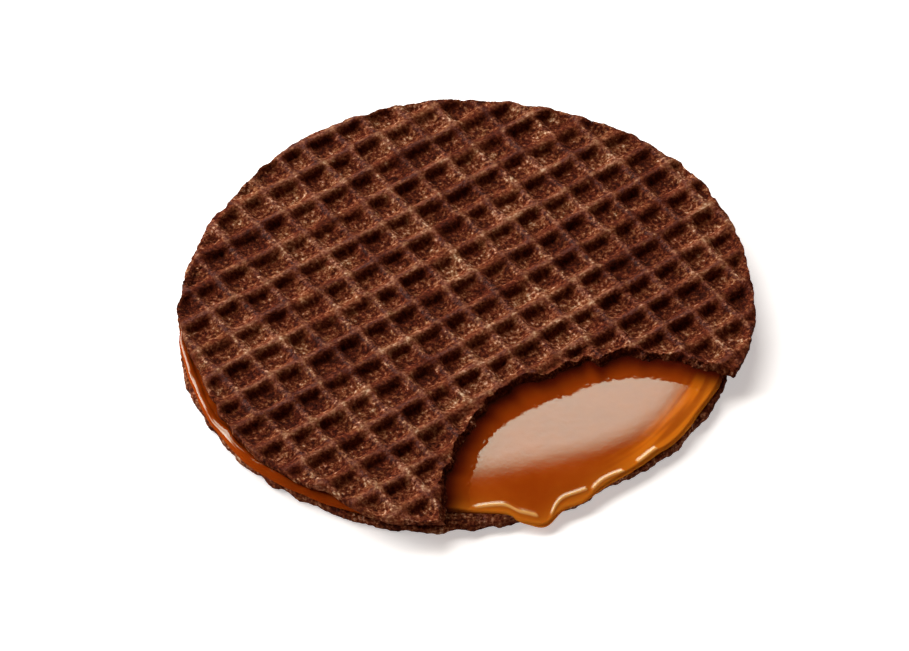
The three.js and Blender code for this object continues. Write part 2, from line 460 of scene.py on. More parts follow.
def crossing_ridge(table, reach, column, row, share):
    """A value of a ridge across the rows, such as its offset, read beside one row."""
    column, row = column + reach, row + reach
    pieces = [look_up(table, row + step, column) for step in (-1, 0, 1)]
    return join_pieces(*pieces, share)


def long_ridge(table, reach, column, row, share):
    """The same for a ridge along the columns, read beside one column."""
    return crossing_ridge(table.T, reach, row, column, share)


print("upper wander table", wander_tables(upper_wafer)[1].shape)

# %% Where the ridges run
ridge_hold, ridge_shift = 0.22, 0.56


def ridge_offsets(wafer, u, v):
    """How far the mesh moves along and across the grid to follow the ridges, in millimetres."""
    reach, along_table, across_table = wander_tables(wafer)
    column, row = np.floor(u).astype(int), np.floor(v).astype(int)
    s, t = u - column, v - row
    left = crossing_ridge(along_table, reach, column, row, t)
    right_side = crossing_ridge(along_table, reach, column + 1, row, t)
    near = long_ridge(across_table, reach, column, row, s)
    far = long_ridge(across_table, reach, column, row + 1, s)
    # The mesh keeps a ridge's offset beside it, and takes on the next one's in between.
    share_s, share_t = (smooth((share - ridge_hold) / ridge_shift) for share in (s, t))
    # The hot sheet sagged across the grid before it set, so the long ridges bow a little.
    sideways = u * pitch_along * grid_cos - v * pitch_across * grid_sin
    bow = grid_bow * (sideways / wafer["radius"]) ** 2
    return left + (right_side - left) * share_s, near + (far - near) * share_t + bow


def to_places(wafer, crossing, facing, u, v):
    """From pockets counted along and across the grid to places in millimetres."""
    offset_along, offset_across = ridge_offsets(wafer, u, v)
    along = u * pitch_along + crossing[0] + offset_along
    across = (v * pitch_across + crossing[1] + offset_across) * facing
    x = wafer["centre"][0] + along * grid_cos - across * grid_sin
    y = wafer["centre"][1] + along * grid_sin + across * grid_cos
    return x, y


def to_pockets(wafer, crossing, facing, points):
    """The way back, from places to pockets, in a few rounds."""
    x, y = points[:, 0] - wafer["centre"][0], points[:, 1] - wafer["centre"][1]
    along = x * grid_cos + y * grid_sin - crossing[0]
    across = (y * grid_cos - x * grid_sin) * facing - crossing[1]
    u, v = along / pitch_along, across / pitch_across
    for _ in range(4):
        offset_along, offset_across = ridge_offsets(wafer, u, v)
        u = (along - offset_along) / pitch_along
        v = (across - offset_across) / pitch_across
    return u, v


probe = np.array([[10.0, 5.0, 0.0]])
in_pockets = to_pockets(upper_wafer, upper_crossing, 1, probe)
back_again = to_places(upper_wafer, upper_crossing, 1, *in_pockets)
print("a place and the way back", probe[0, :2], np.round(back_again, 3).ravel())

# %% The relief of one waffled face
long_foot = 1.65
crossing_foot_left = 1.85
crossing_foot_right = 1.45
long_flank_crest, long_flank_foot = 1.4, 1.35
crossing_tallest, crossing_spread = 1.05, 0.3
long_tallest, long_spread = 1.0, 0.25
ridge_wobble = 0.15
knot_height = 0.12


def ridge_profile(share, crest=2.0, foot=1.0):
    """1 on a ridge, 0 past its foot. A higher crest is blunter, and a higher foot eases in longer."""
    return (1 - np.clip(np.abs(share), 0, 1) ** crest) ** foot


def crossing_profile(distance):
    """The plates slid a little as they closed, so one flank is long and the other one steep."""
    long_flank = ridge_profile(distance / crossing_foot_left, long_flank_crest, long_flank_foot)
    steep_flank = ridge_profile(distance / crossing_foot_right)
    return np.where(distance < 0, long_flank, steep_flank)


def from_ridges(wafer, u, v, points):
    """How far each point lies from the nearest crossing ridge and from the nearest long ridge."""
    flat_points = points * (1, 1, 0)
    to_crossing = (u - np.round(u)) * pitch_along
    to_crossing = to_crossing + ridge_wobble * crumb(flat_points, 1.5, wafer["seed"] + 30, 2)
    to_long = (v - np.round(v)) * pitch_across
    to_long = to_long + ridge_wobble * crumb(flat_points, 1.7, wafer["seed"] + 33, 2)
    return to_crossing, to_long


def ridges(wafer, u, v, points):
    """How high the crossing ridges and the long ridges stand at each point, from 0 to 1."""
    reach = wander_tables(wafer)[0]
    side = reach * 2 + 2
    column, row = np.floor(u).astype(int), np.floor(v).astype(int)
    s, t = u - column, v - row
    random = np.random.default_rng(wafer["seed"] + 40)
    crossing_heights = crossing_tallest - crossing_spread * random.random((side, side))
    long_heights = long_tallest - long_spread * random.random((side, side))
    nearest_column = column + (s > 0.5)
    nearest_row = row + (t > 0.5)
    crossing_height = crossing_ridge(crossing_heights, reach, nearest_column, row, t)
    long_height = long_ridge(long_heights, reach, column, nearest_row, s)
    to_crossing, to_long = from_ridges(wafer, u, v, points)
    low = crossing_profile(to_crossing) * crossing_height
    high = ridge_profile(to_long / long_foot) * long_height
    return low, high


def relief_of(low, high):
    """The two kinds of ridge together, with a fillet in each corner where they meet."""
    return 1 - (1 - low) * (1 - high)


print("ridge profile", ridge_profile(np.array([0, 0.4, 0.8, 1.2]) / long_foot).round(2))

# %% [markdown]
# ## Making a wafer from sheets and cutters
#
# A real wafer is pressed as a sheet and cut with a ring. The same is done here. The sheet is a
# closed slab whose one face carries the ridges. A ring with a crumbly wall is intersected with
# it, and a crumbly cutter takes out the bite. Modelling the cut edge by hand would take a mesh
# that fits both the ridges and the round rim, and Blender's manifold Boolean does that cleanly.

# %% Mesh helpers
def make_mesh(name, points, faces):
    """A mesh object from points in millimetres."""
    mesh = bpy.data.meshes.new(name)
    mesh.from_pydata((np.asarray(points) * mm).tolist(), [], faces)
    mesh.update()
    made = bpy.data.objects.new(name, mesh)
    bpy.context.scene.collection.objects.link(made)
    return made


def grid_faces(rows, columns, closed=False):
    """Four-sided faces between rows of points. A closed grid joins its last column to its first."""
    last = columns if closed else columns - 1
    i, j = np.meshgrid(np.arange(rows - 1), np.arange(last), indexing="ij")
    i, j = i.ravel(), j.ravel()
    k = (j + 1) % columns
    return np.stack([i * columns + j, i * columns + k, (i + 1) * columns + k, (i + 1) * columns + j], 1)


def closed_loft(name, rings, below, above):
    """A closed mesh through rings of points, with a fan to one point at each end."""
    turns = len(rings[0])
    points = np.concatenate([*rings, [below], [above]])
    here, after = np.arange(turns), (np.arange(turns) + 1) % turns
    last_ring = (len(rings) - 1) * turns
    sides = grid_faces(len(rings), turns, closed=True)
    bottom = np.stack([np.full(turns, len(points) - 2), after, here], 1)
    top = np.stack([np.full(turns, len(points) - 1), last_ring + here, last_ring + after], 1)
    return make_mesh(name, points, sides.tolist() + bottom.tolist() + top.tolist())


def points_of(piece):
    """A piece's points in millimetres."""
    flat = np.zeros(len(piece.data.vertices) * 3)
    piece.data.vertices.foreach_get("co", flat)
    return flat.reshape(-1, 3) / mm


def combine(piece, other, operation):
    """Applies one Boolean with another closed mesh, which is then removed."""
    modifier = piece.modifiers.new("combine", "BOOLEAN")
    modifier.operation = operation
    modifier.solver = "MANIFOLD"
    modifier.object = other
    graph = bpy.context.evaluated_depsgraph_get()
    result = bpy.data.meshes.new_from_object(piece.evaluated_get(graph))
    piece.modifiers.clear()
    old = piece.data
    piece.data = result
    bpy.data.meshes.remove(old)
    bpy.data.objects.remove(other)
    return piece


def add_value(piece, name, values):
    """Stores one number for each point of a mesh, for its material to read."""
    attribute = piece.data.attributes.new(name, "FLOAT", "POINT")
    attribute.data.foreach_set("value", np.asarray(values, np.float32))


print("mesh helpers ready")

# %% A pressed face
sheet_reach = 9
rim_fill = 1.1
break_fill = 1.4
fill_share = 0.75
rim_dip, rim_dip_run = 0.3, 0.45
torn_dip, torn_crumb, torn_run = 0.22, 0.2, 0.7
face_sag = 0.05
floor_grit, worn_off = 0.09, 0.05
floor_swell = 0.16
above_face = 0.1


def fill_pockets(relief, inside, run):
    """Makes the pockets shallower within a short run of an edge."""
    near = np.exp(-(np.maximum(inside, 0) / run) ** 2)
    return relief + (1 - relief) * fill_share * near


def pressed_face(wafer, crossing, facing, face, stops, floor_stops):
    """The points of a waffled face, row by row, and how many rows and columns they make."""
    lines_u = mesh_lines(sheet_reach, pitch_along, stops, floor_stops)
    lines_v = mesh_lines(sheet_reach, pitch_across, stops, floor_stops)
    v, u = np.meshgrid(lines_v, lines_u, indexing="ij")
    shape = u.shape
    u, v = u.ravel(), v.ravel()
    x, y = to_places(wafer, crossing, facing, u, v)
    points = np.stack([x, y, np.full(len(x), face)], 1)
    low, high = ridges(wafer, u, v, points)
    # The batter runs out at the rim, so the last pockets are shallow there.
    relief = fill_pockets(relief_of(low, high), inside_rim(wafer, points), rim_fill)
    edge_dip = rim_dip * np.exp(-np.abs(inside_rim(wafer, points)) / rim_dip_run)
    if facing > 0:
        # Torn crumb is pushed up along the break and fills the pockets that it runs through.
        relief = fill_pockets(relief, -inside_bite(points), break_fill)
        torn = np.exp(-np.abs(inside_bite(points)) / torn_run)
        edge_dip += torn * (torn_dip + torn_crumb * crumb(points, 1.1, 61))
    sag = face_sag * (1 + crumb(points, 14.0, wafer["seed"] + 50, 2))
    rough = crumb(points, 0.8, wafer["seed"] + 60, 2) * (floor_grit - worn_off * relief)
    swell = floor_swell * crumb(points, 3.2, wafer["seed"] + 70, 2) * (1 - relief)
    lowered = pocket_depth * (1 - relief) + edge_dip + sag + rough + swell
    if facing > 0:
        # Where two ridges cross, the batter was squeezed up into a low knot.
        lowered = lowered - knot_height * low * high
    points[:, 2] = face - facing * np.maximum(lowered, -above_face if facing > 0 else 0.0)
    return points, shape


print("pressed face ready, pockets", pocket_depth, "mm deep")

# %% A closed slab behind the face
def pressed_sheet(name, wafer, crossing, facing, face, back, stops, floor_stops):
    """A closed slab with ridges on one face, larger than the wafer that is cut from it."""
    points, (rows, columns) = pressed_face(wafer, crossing, facing, face, stops, floor_stops)
    top = grid_faces(rows, columns)
    ring = np.concatenate([
        np.arange(columns),
        np.arange(1, rows) * columns + columns - 1,
        (rows - 1) * columns + np.arange(columns - 2, -1, -1),
        np.arange(rows - 2, 0, -1) * columns,
    ])
    lower_ring = points[ring] * (1, 1, 0) + (0, 0, back)
    below = rows * columns + np.arange(len(ring))
    below_after = np.roll(below, -1)
    skirt = np.stack([ring, below, below_after, np.roll(ring, -1)], 1)
    cap = np.stack([np.full(len(ring), below[-1] + 1), below_after, below], 1)
    all_points = np.concatenate([points, lower_ring, [(*wafer["centre"], back)]])
    return make_mesh(name, all_points, top.tolist() + skirt.tolist() + cap.tolist())


print("slab maker ready")

# %% A ring or a bite with a crumbly wall
wall_beyond = 1.5
wall_pit_size = 0.9


def crumbly_prism(name, centre, radius_at, steps, low, high, levels, wall_seed, roughness):
    """A closed upright prism whose wall is rough. radius_at gives its radius at an angle and height."""
    levels_between = np.linspace(low, high, levels)
    heights = np.concatenate([[low - wall_beyond], levels_between, [high + wall_beyond]])
    turns = np.arange(steps) / steps * 2 * np.pi
    height, angle = np.meshgrid(heights, turns, indexing="ij")
    height, angle = height.ravel(), angle.ravel()
    radius = radius_at(angle, height)
    out = np.stack([np.cos(angle), np.sin(angle)], 1)
    wall = np.column_stack([out * radius[:, None] + np.array(centre), height])
    pits = crumb(wall, wall_pit_size, wall_seed) * roughness
    wall[:, :2] += out * pits[:, None]
    rings = wall.reshape(len(heights), steps, 3)
    return closed_loft(name, rings, (*centre, heights[0]), (*centre, heights[-1]))


rim_bevel = 0.35


def rounded_rim(wafer, low, high):
    """The rim's radius, drawn in near its lower and upper edge."""
    def radius_at(angle, height):
        to_edge = np.clip(np.minimum(height - low, high - height), 0, rim_bevel)
        inset = rim_bevel - np.sqrt(rim_bevel ** 2 - (rim_bevel - to_edge) ** 2)
        return rim_radius(wafer, angle) - inset
    return radius_at


def leaning_bite(angle, height):
    """The bite's radius: the wafer has broken further back towards its face."""
    lean = bite_lean * (np.clip(height, upper_back, upper_face) - upper_back)
    return bite_radius(angle) + bite_foot + lean / (upper_face - upper_back)


print("cutters ready")

# %% [markdown]
# ## The upper wafer
#
# The sheet, the ring and the bite come together here. Each point of the finished wafer then
# learns how high it stands between the pocket's floor and a ridge's crest, and how close it is
# to the torn edge, because the material colours ridges and torn crumb differently.

# %% Cut the upper wafer
upper = pressed_sheet(
    "upper_wafer_baked", upper_wafer, upper_crossing, 1, upper_face, upper_back, upper_stops, 5,
)
upper_ring = crumbly_prism(
    "upper_ring", upper_wafer["centre"], rounded_rim(upper_wafer, upper_back, upper_face),
    1000, upper_back, upper_face, levels=9, wall_seed=71, roughness=0.16,
)
combine(upper, upper_ring, "INTERSECT")
bite = crumbly_prism(
    "bite", bite_centre, leaning_bite,
    900, upper_back, upper_face, levels=11, wall_seed=81, roughness=0.3,
)
combine(upper, bite, "DIFFERENCE")
print("upper wafer", len(upper.data.vertices), "points,", len(upper.data.polygons), "faces")

# %% Tell each point of a wafer what it is
crest_line_width = 0.3
flank_start, flank_end, flank_fade = 0.6, 0.18, 0.12
torn_stain = 0.9
sharp_angle = math.radians(50)


def describe_wafer(piece, wafer, crossing, facing):
    """Stores which ridge each point is on, and how near the bite it is."""
    points = points_of(piece)
    u, v = to_pockets(wafer, crossing, facing, points)
    low, high = ridges(wafer, u, v, points)
    add_value(piece, "crossing_ridge", low)
    add_value(piece, "long_ridge", high)
    crest_line = np.exp(-(from_ridges(wafer, u, v, points)[0] / crest_line_width) ** 2)
    add_value(piece, "crest_line", crest_line)
    # The plates pressed one flank of each long ridge smooth, up to its crest.
    past_row = v - np.floor(v)
    before_ridge = smooth((past_row - flank_start) / flank_fade)
    past_ridge = smooth((flank_end - past_row) / flank_fade)
    add_value(piece, "smoothed", np.where(past_row > 0.5, before_ridge, past_ridge))
    torn = np.exp(-np.maximum(-inside_bite(points), 0) / torn_stain)
    add_value(piece, "torn", torn if facing > 0 else np.zeros(len(points)))
    piece.data.shade_smooth()
    piece.data.set_sharp_from_angle(angle=sharp_angle)


describe_wafer(upper, upper_wafer, upper_crossing, 1)
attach(upper, "root")
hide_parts("upper_wafer")
print("upper wafer described")

# %% [markdown]
# ## The lower wafer
#
# It comes off the same plates, ridges down. Only its rim and its underside can be seen. The rim
# crumbles more than the upper one, because it carries the weight when the biscuit is picked up.

# %% Cut the lower wafer
lower = pressed_sheet(
    "lower_wafer_baked", lower_wafer, lower_crossing, -1, lower_face, lower_back, lower_stops, 9,
)
lower_ring = crumbly_prism(
    "lower_ring", lower_wafer["centre"], rounded_rim(lower_wafer, lower_face, lower_back),
    1000, lower_face, lower_back, levels=9, wall_seed=91, roughness=0.2,
)
combine(lower, lower_ring, "INTERSECT")
describe_wafer(lower, lower_wafer, lower_crossing, -1)
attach(lower, "root")
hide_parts("lower_wafer")
print("lower wafer", len(lower.data.vertices), "points,", len(lower.data.polygons), "faces")

# %% [markdown]
# ## The caramel
#
# Under the wafer the caramel is a flat layer. Along the left rim it has been squeezed out into a
# bead. In the bite it lies open: it clings to the broken face, lies nearly flat like a mirror,
# then sinks towards the rim, turns up into a rolled lip and hangs over. A liquid simulation
# could make such a shape once, but not the same one twice, so the surface is written as a
# height over angle and distance, part by part.

# %% How far the caramel reaches, and how high its edge lies
caramel_hidden = {"reach": 48.0, "height": 2.3, "thickness": 0.5}
caramel_bead = {"from": -175, "to": -104, "fade": 4, "reach": 49.1, "height": 2.1, "thickness": 0.45}
caramel_lip = {"from": -97, "to": -16, "fade": 4, "reach": 47.9, "height": 1.75, "thickness": 0.35}
drip = {"at": -73.2, "half_width": 4.1, "reach": 3.4, "sag": 0.6, "thickness": 0.3}
runs = [
    (-91, 11, -1.7), (-77.2, 1.5, 0.6), (-64.5, 4.5, 1.3), (-44.5, 2.5, -0.3),
    (-38, 10, 1.0), (-20, 8, 1.4), (-165, 12, -0.8), (-133, 12, 0.75), (162, 18, -1.3),
]
bead_ripple = 0.15


def stretch(angle, part):
    """1 inside a stretch of the rim, fading to 0 past its ends."""
    middle = (part["from"] + part["to"]) / 2
    half = (part["to"] - part["from"]) / 2
    away = np.abs((np.degrees(angle) - middle + 180) % 360 - 180)
    return smooth((half - away + part["fade"]) / (2 * part["fade"]))


def caramel_edge(angle):
    """Reach, height of the edge's middle, and half its thickness, at each angle."""
    edge = {key: np.full(len(angle), value) for key, value in caramel_hidden.items()}
    for part in (caramel_bead, caramel_lip):
        share = stretch(angle, part)
        for key in edge:
            edge[key] = edge[key] * (1 - share) + part[key] * share
    hang = hump(angle, drip["at"], drip["half_width"])
    edge["reach"] += drip["reach"] * hang + swelling(angle, runs)
    edge["reach"] += bead_ripple * ring_noise(angle, 80, 107) * stretch(angle, caramel_bead)
    edge["height"] -= drip["sag"] * hang
    edge["thickness"] += drip["thickness"] * hang
    return edge


print("reach at the drip", caramel_edge(np.radians([drip["at"]]))["reach"].round(2))

# %% The open surface in the bite
caramel_top = upper_back
pool_drop = 0.1
cling_slope = 0.132
cling_width = 4.1
cling_swells = [(118, 22, 1.9), (112, 4, 0.4)]
cling_under = 2.5
ragged_width, ragged_height = 0.55, 0.45
line_wander = 0.08
fall_slope = 0.115
fall_radius_front = 34.0
fall_radius_side = 40.0
side_from, side_run = -75, 45
fall_run = 11.0
nose_inset = 0.6
folds = [
    {"from": -87.5, "to": -73.0, "start": 0.7, "end": 2.0, "arc": 0.6, "growth": 0.5},
    {"from": -72.3, "to": -61.3, "start": 0.3, "end": 1.5, "arc": 1.3, "growth": 0.0},
    {"from": -62.0, "to": -52.3, "start": 0.7, "end": 0.5, "arc": 0.6, "growth": 0.0},
    {"from": -50.0, "to": -43.3, "start": 0.7, "end": 0.8, "arc": 0.1, "growth": 0.0},
]
fold_half_width = 0.42
fold_height = 0.11
fold_fade_in, fold_fade_out = 0.2, 0.08


def eased_slope(distance, run):
    """The height of a slope that eases in from 0 to 1 over a run, then stays."""
    share = np.clip(distance / run, 0, 1)
    return run * (share ** 3 - share ** 4 / 2) + np.maximum(distance - run, 0)


def folded_lip(angle, from_edge):
    """Thin folds inside the edge, where the skin has bunched up on its way out: 1 on their crests."""
    total = np.zeros(len(angle))
    for fold in folds:
        share = (np.degrees(angle) - fold["from"]) / (fold["to"] - fold["from"])
        straight = fold["start"] + (fold["end"] - fold["start"]) * share
        inset = straight + 4 * fold["arc"] * share * (1 - share)
        half_width = fold_half_width * (1 + fold["growth"] * np.clip(share, 0, 1))
        strength = smooth(share / fold_fade_in) * smooth((1 - share) / fold_fade_out)
        total += strength * np.exp(-((from_edge - inset) / half_width) ** 2)
    return total


def open_surface(points, angle, from_edge):
    """Height of the caramel's free surface at points in the bite."""
    bite_angle, from_middle = around(points, bite_centre)
    from_wall = np.maximum(bite_radius_mean - from_middle, -cling_under)
    edge_line = cling_width + swelling(bite_angle, cling_swells)
    # The line where it starts to climb is ragged, and the climb itself is smooth.
    near_line = np.exp(-((edge_line - from_wall) / ragged_width) ** 2)
    edge_line = edge_line + line_wander * crumb(points, 4.0, 101, 1)
    edge_line = edge_line + ragged_height * crumb(points, 0.55, 103, 1) * near_line
    climb = cling_slope * np.maximum(edge_line - from_wall, 0)
    side = smooth((np.degrees(angle) - side_from) / side_run)
    fall_radius = fall_radius_front + (fall_radius_side - fall_radius_front) * side
    radius = around(points, lower_wafer["centre"])[1]
    fall = fall_slope * eased_slope(radius - fall_radius, fall_run)
    return caramel_top - pool_drop + climb - fall + fold_height * folded_lip(angle, from_edge)


print("surface laws ready")

# %% The bead along the rim
bead_half_width = 0.65
bead_tucks = [(-160, 13, -0.32), (-144.5, 2, 0.6), (-133.5, 4, 0.7), (-117, 7, 0.7)]
bead_rise = 1.1
bead_uneven_width = 0.35
bead_uneven_rise, bead_fine_rise = 0.22, 0.14
bead_back_run = 1.15
bead_back_end = 0.92


def bead_surface(angle, edge_height, from_edge):
    """Height of the caramel squeezed out between the wafers: a round bead with a gentler back."""
    half_width = bead_half_width * (1 + bead_uneven_width * ring_noise(angle, 56, 109))
    half_width = half_width + swelling(angle, bead_tucks)
    uneven = bead_uneven_rise * ring_noise(angle, 76, 105)
    rise = bead_rise * (1 + uneven + bead_fine_rise * ring_noise(angle, 190, 113))
    front = np.clip((half_width - from_edge) / half_width, 0, 1)
    back = np.clip((from_edge - half_width) / bead_back_run, 0, bead_back_end)
    return edge_height + rise * np.sqrt(1 - np.maximum(front, back) ** 2)


print("bead law ready")

# %% Loft the caramel
open_from, open_to = -112, -12
open_turns, hidden_turns = 420, 190
nose_steps = 16
lip_steps, lip_span = 28, 3.4
pool_steps, pool_span = 104, 28
far_steps, far_end = 7, 48
mean_reach = 48.7
nose_depth, nose_back = 1.2, 2
under_reach = 1.0
under_gap, under_slope = 0.01, 4
carried_inset = 1.0
bedding, drop_slope = 0.02, 2


def caramel_angles():
    """Angles round the layer, closest together where it lies open."""
    bare = np.linspace(open_from, open_to, open_turns, endpoint=False)
    covered = np.linspace(open_to, open_from + 360, hidden_turns, endpoint=False)
    degree = np.concatenate([bare, covered])
    return np.radians(np.where(degree > 180, degree - 360, degree))


def edge_underside(angles, edge):
    """Radius and height of each row, from the flat base round to the edge's outermost point."""
    # The lower wafer carries the layer as far as here, so that none of it shows in the pockets.
    carried = rim_radius(lower_wafer, angles) - carried_inset
    base = lower_back - bedding
    flat_radius = np.minimum(carried, edge["reach"] - nose_back * edge["thickness"])
    rows = [(flat_radius, np.full(len(angles), base))]
    for share in np.linspace(0, 1, nose_steps)[:-1]:
        turn_down = np.pi / 2 * (1 - share)
        radius = edge["reach"] - edge["thickness"] * nose_depth * (1 - np.cos(turn_down))
        height = edge["height"] - edge["thickness"] * np.sin(turn_down)
        lowest = base - drop_slope * np.maximum(radius - carried, 0)
        rows.append((radius, np.maximum(height, lowest)))
    return rows


def caramel_over_top(angles, edge, out):
    """Rows over the top, close together at the lip and further apart towards the middle."""
    lip_places = np.linspace(0, 1, lip_steps) ** 1.5 * lip_span
    pool_places = lip_span + np.linspace(0, 1, pool_steps + 1)[1:] * pool_span
    pool_end = lip_span + pool_span
    far_places = pool_end + (far_end - pool_end) * np.linspace(0, 1, far_steps)[1:-1]
    rows = []
    for place in np.concatenate([lip_places, pool_places, far_places]):
        radius = edge["reach"] - place * edge["reach"] / mean_reach
        points = np.column_stack([out * radius[:, None], np.zeros(len(angles))])
        free = open_surface(points, angles, place)
        under = np.minimum(inside_rim(upper_wafer, points), -inside_bite(points) - under_reach)
        allowed = caramel_top - under_gap + under_slope * np.maximum(-under, 0)
        rise = np.sqrt(1 - np.clip(1 - place / nose_inset, 0, 1) ** 2)
        free = edge["height"] + (free - edge["height"]) * rise
        bead = bead_surface(angles, edge["height"], place)
        free = free + (bead - free) * stretch(angles, caramel_bead)
        rows.append((radius, np.minimum(free, allowed)))
    return rows


def loft_caramel():
    """The whole layer: the edge's underside, the top, and a fan to the middle of each."""
    angles = caramel_angles()
    edge = caramel_edge(angles)
    out = np.stack([np.cos(angles), np.sin(angles)], 1)
    rows = edge_underside(angles, edge) + caramel_over_top(angles, edge, out)
    rings = [np.column_stack([out * radius[:, None], height]) for radius, height in rows]
    return closed_loft("caramel", rings, (0, 0, lower_back), (0, 0, caramel_top))


caramel = loft_caramel()
caramel.data.shade_smooth()
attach(caramel, "root")
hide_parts("caramel_filling")
print("caramel", len(caramel.data.vertices), "points,", len(caramel.data.polygons), "faces")

# %% [markdown]
# ## Finishes that several pieces share
#
# Baked crumb has three looks at once: blotches where the batter browned unevenly, grains that
# roughen it, and thin pale lines where the dough was drawn out as the plates closed. Each is a
# node group, built once, and every material that needs it places it with its own sizes.

# %% Groups for blotches, grain and drawn lines
def start_group(name, inputs, outputs):
    """An empty shader node group with named sockets, and its two end nodes."""
    group = bpy.data.node_groups.new(name, "ShaderNodeTree")
    for socket, value in inputs.items():
        made = group.interface.new_socket(socket, in_out="INPUT", socket_type="NodeSocketFloat")
        made.default_value = value
    for socket in outputs:
        group.interface.new_socket(socket, in_out="OUTPUT", socket_type="NodeSocketFloat")
    return group, group.nodes.new("NodeGroupInput"), group.nodes.new("NodeGroupOutput")


def millimetres(tree):
    """Places on the object in millimetres."""
    place = put(tree, "TexCoord").outputs["Object"]
    return put(tree, "VectorMath", {0: place, "Scale": 1 / mm}, operation="SCALE").outputs[0]


def noise_of_size(tree, size, detail, roughness=0.5):
    scale = calculate(tree, "DIVIDE", 1.0, size)
    inputs = {"Vector": millimetres(tree), "Scale": scale, "Detail": detail, "Roughness": roughness}
    return put(tree, "TexNoise", inputs).outputs["Fac"]


def build_blotches():
    group, ends, out = start_group("blotches", {"Size": 4.0, "Contrast": 0.5}, ["Share"])
    wide = noise_of_size(group, ends.outputs["Size"], 4.0, 0.6)
    spread = calculate(group, "MULTIPLY", calculate(group, "SUBTRACT", wide, 0.5), 3.0)
    scaled = calculate(group, "MULTIPLY", spread, ends.outputs["Contrast"])
    feed(group, out.inputs["Share"], calculate(group, "ADD", scaled, 0.5))
    return group


def build_grain():
    group, ends, out = start_group("grain", {"Size": 0.4, "Pits": 0.5}, ["Height"])
    fine = noise_of_size(group, ends.outputs["Size"], 5.0, 0.65)
    pit_scale = calculate(group, "DIVIDE", 0.8, ends.outputs["Size"])
    inputs = {"Vector": millimetres(group), "Scale": pit_scale}
    cells = put(group, "TexVoronoi", inputs, feature="SMOOTH_F1").outputs["Distance"]
    pits = calculate(group, "MULTIPLY", ramp(group, cells, 0.0, 0.5), ends.outputs["Pits"])
    feed(group, out.inputs["Height"], calculate(group, "ADD", fine, pits))
    return group


def build_drawn_lines():
    """Thin lines that follow the grid: Along and Across are a line's sizes in the grid's directions."""
    group, ends, out = start_group("drawn_lines", {"Along": 0.4, "Across": 2.4}, ["Share"])
    inputs = {"Vector": millimetres(group), "Angle": -grid_angle}
    turned = put(group, "VectorRotate", inputs, rotation_type="Z_AXIS").outputs["Vector"]
    parts = put(group, "SeparateXYZ", {0: turned}).outputs
    along = calculate(group, "DIVIDE", parts[0], ends.outputs["Along"])
    across = calculate(group, "DIVIDE", parts[1], ends.outputs["Across"])
    place = put(group, "CombineXYZ", {0: along, 1: across, 2: parts[2]}).outputs[0]
    wavy = put(group, "TexNoise", {"Vector": place, "Scale": 1.0, "Detail": 3.0, "Roughness": 0.6})
    feed(group, out.inputs["Share"], ramp(group, wavy.outputs["Fac"], 0.35, 0.75))
    return group


blotches = build_blotches()
grain = build_grain()
drawn_lines = build_drawn_lines()
print("groups", [group.name for group in (blotches, grain, drawn_lines)])


def use_group(tree, group, **values):
    """Places a group in a material, with this material's own values."""
    placed = put(tree, "Group", node_tree=group)
    for name, value in values.items():
        feed(tree, placed.inputs[name], value)
    return placed.outputs[0]


def read_value(tree, name):
    """Reads a number that was stored for each point of the mesh."""
    return put(tree, "Attribute", attribute_name=name).outputs["Fac"]


# %% [markdown]
# ## Baked cocoa wafer
#
# The colour follows the ridges. The pocket floors are darkest and the crests are palest and
# pinker, most of all at the knots where they cross, and a thin pale line runs along some of the
# low ones. This is partly wear, where the crests touch the plates and the packing, and partly
# painted light: painted shade down in the pockets and a painted highlight on the crests. The
# flank of each long ridge that was pressed smooth has fewer specks. Near the bite, where the
# crumb is torn, it is painted a little darker.
# One picture wrapped over the wafer could hold all this, but a shade worked out from the ridges
# always stays on them.

# %% Paint the wafers
browning = 0.2
grain_mean = 1.3
# The palest colours, which the crests reach, are partly a painted highlight.
crumb_shades = [
    (0.0, (0.025, 0.003, 0.0005)),
    (0.3, (0.066, 0.0088, 0.0017)),
    (0.55, (0.139, 0.034, 0.0118)),
    (0.78, (0.266, 0.109, 0.054)),
    (1.0, (0.52, 0.32, 0.23)),
]


def shades(tree, value, stops):
    """A ramp of colours, from the darkest crumb to the palest speck."""
    placed = put(tree, "ValToRGB", {0: value})
    steps = placed.color_ramp.elements
    while len(steps) < len(stops):
        steps.new(0.5)
    for step, (place, colour) in zip(steps, stops):
        step.position = place
        step.color = (*colour, 1)
    return placed.outputs[0]


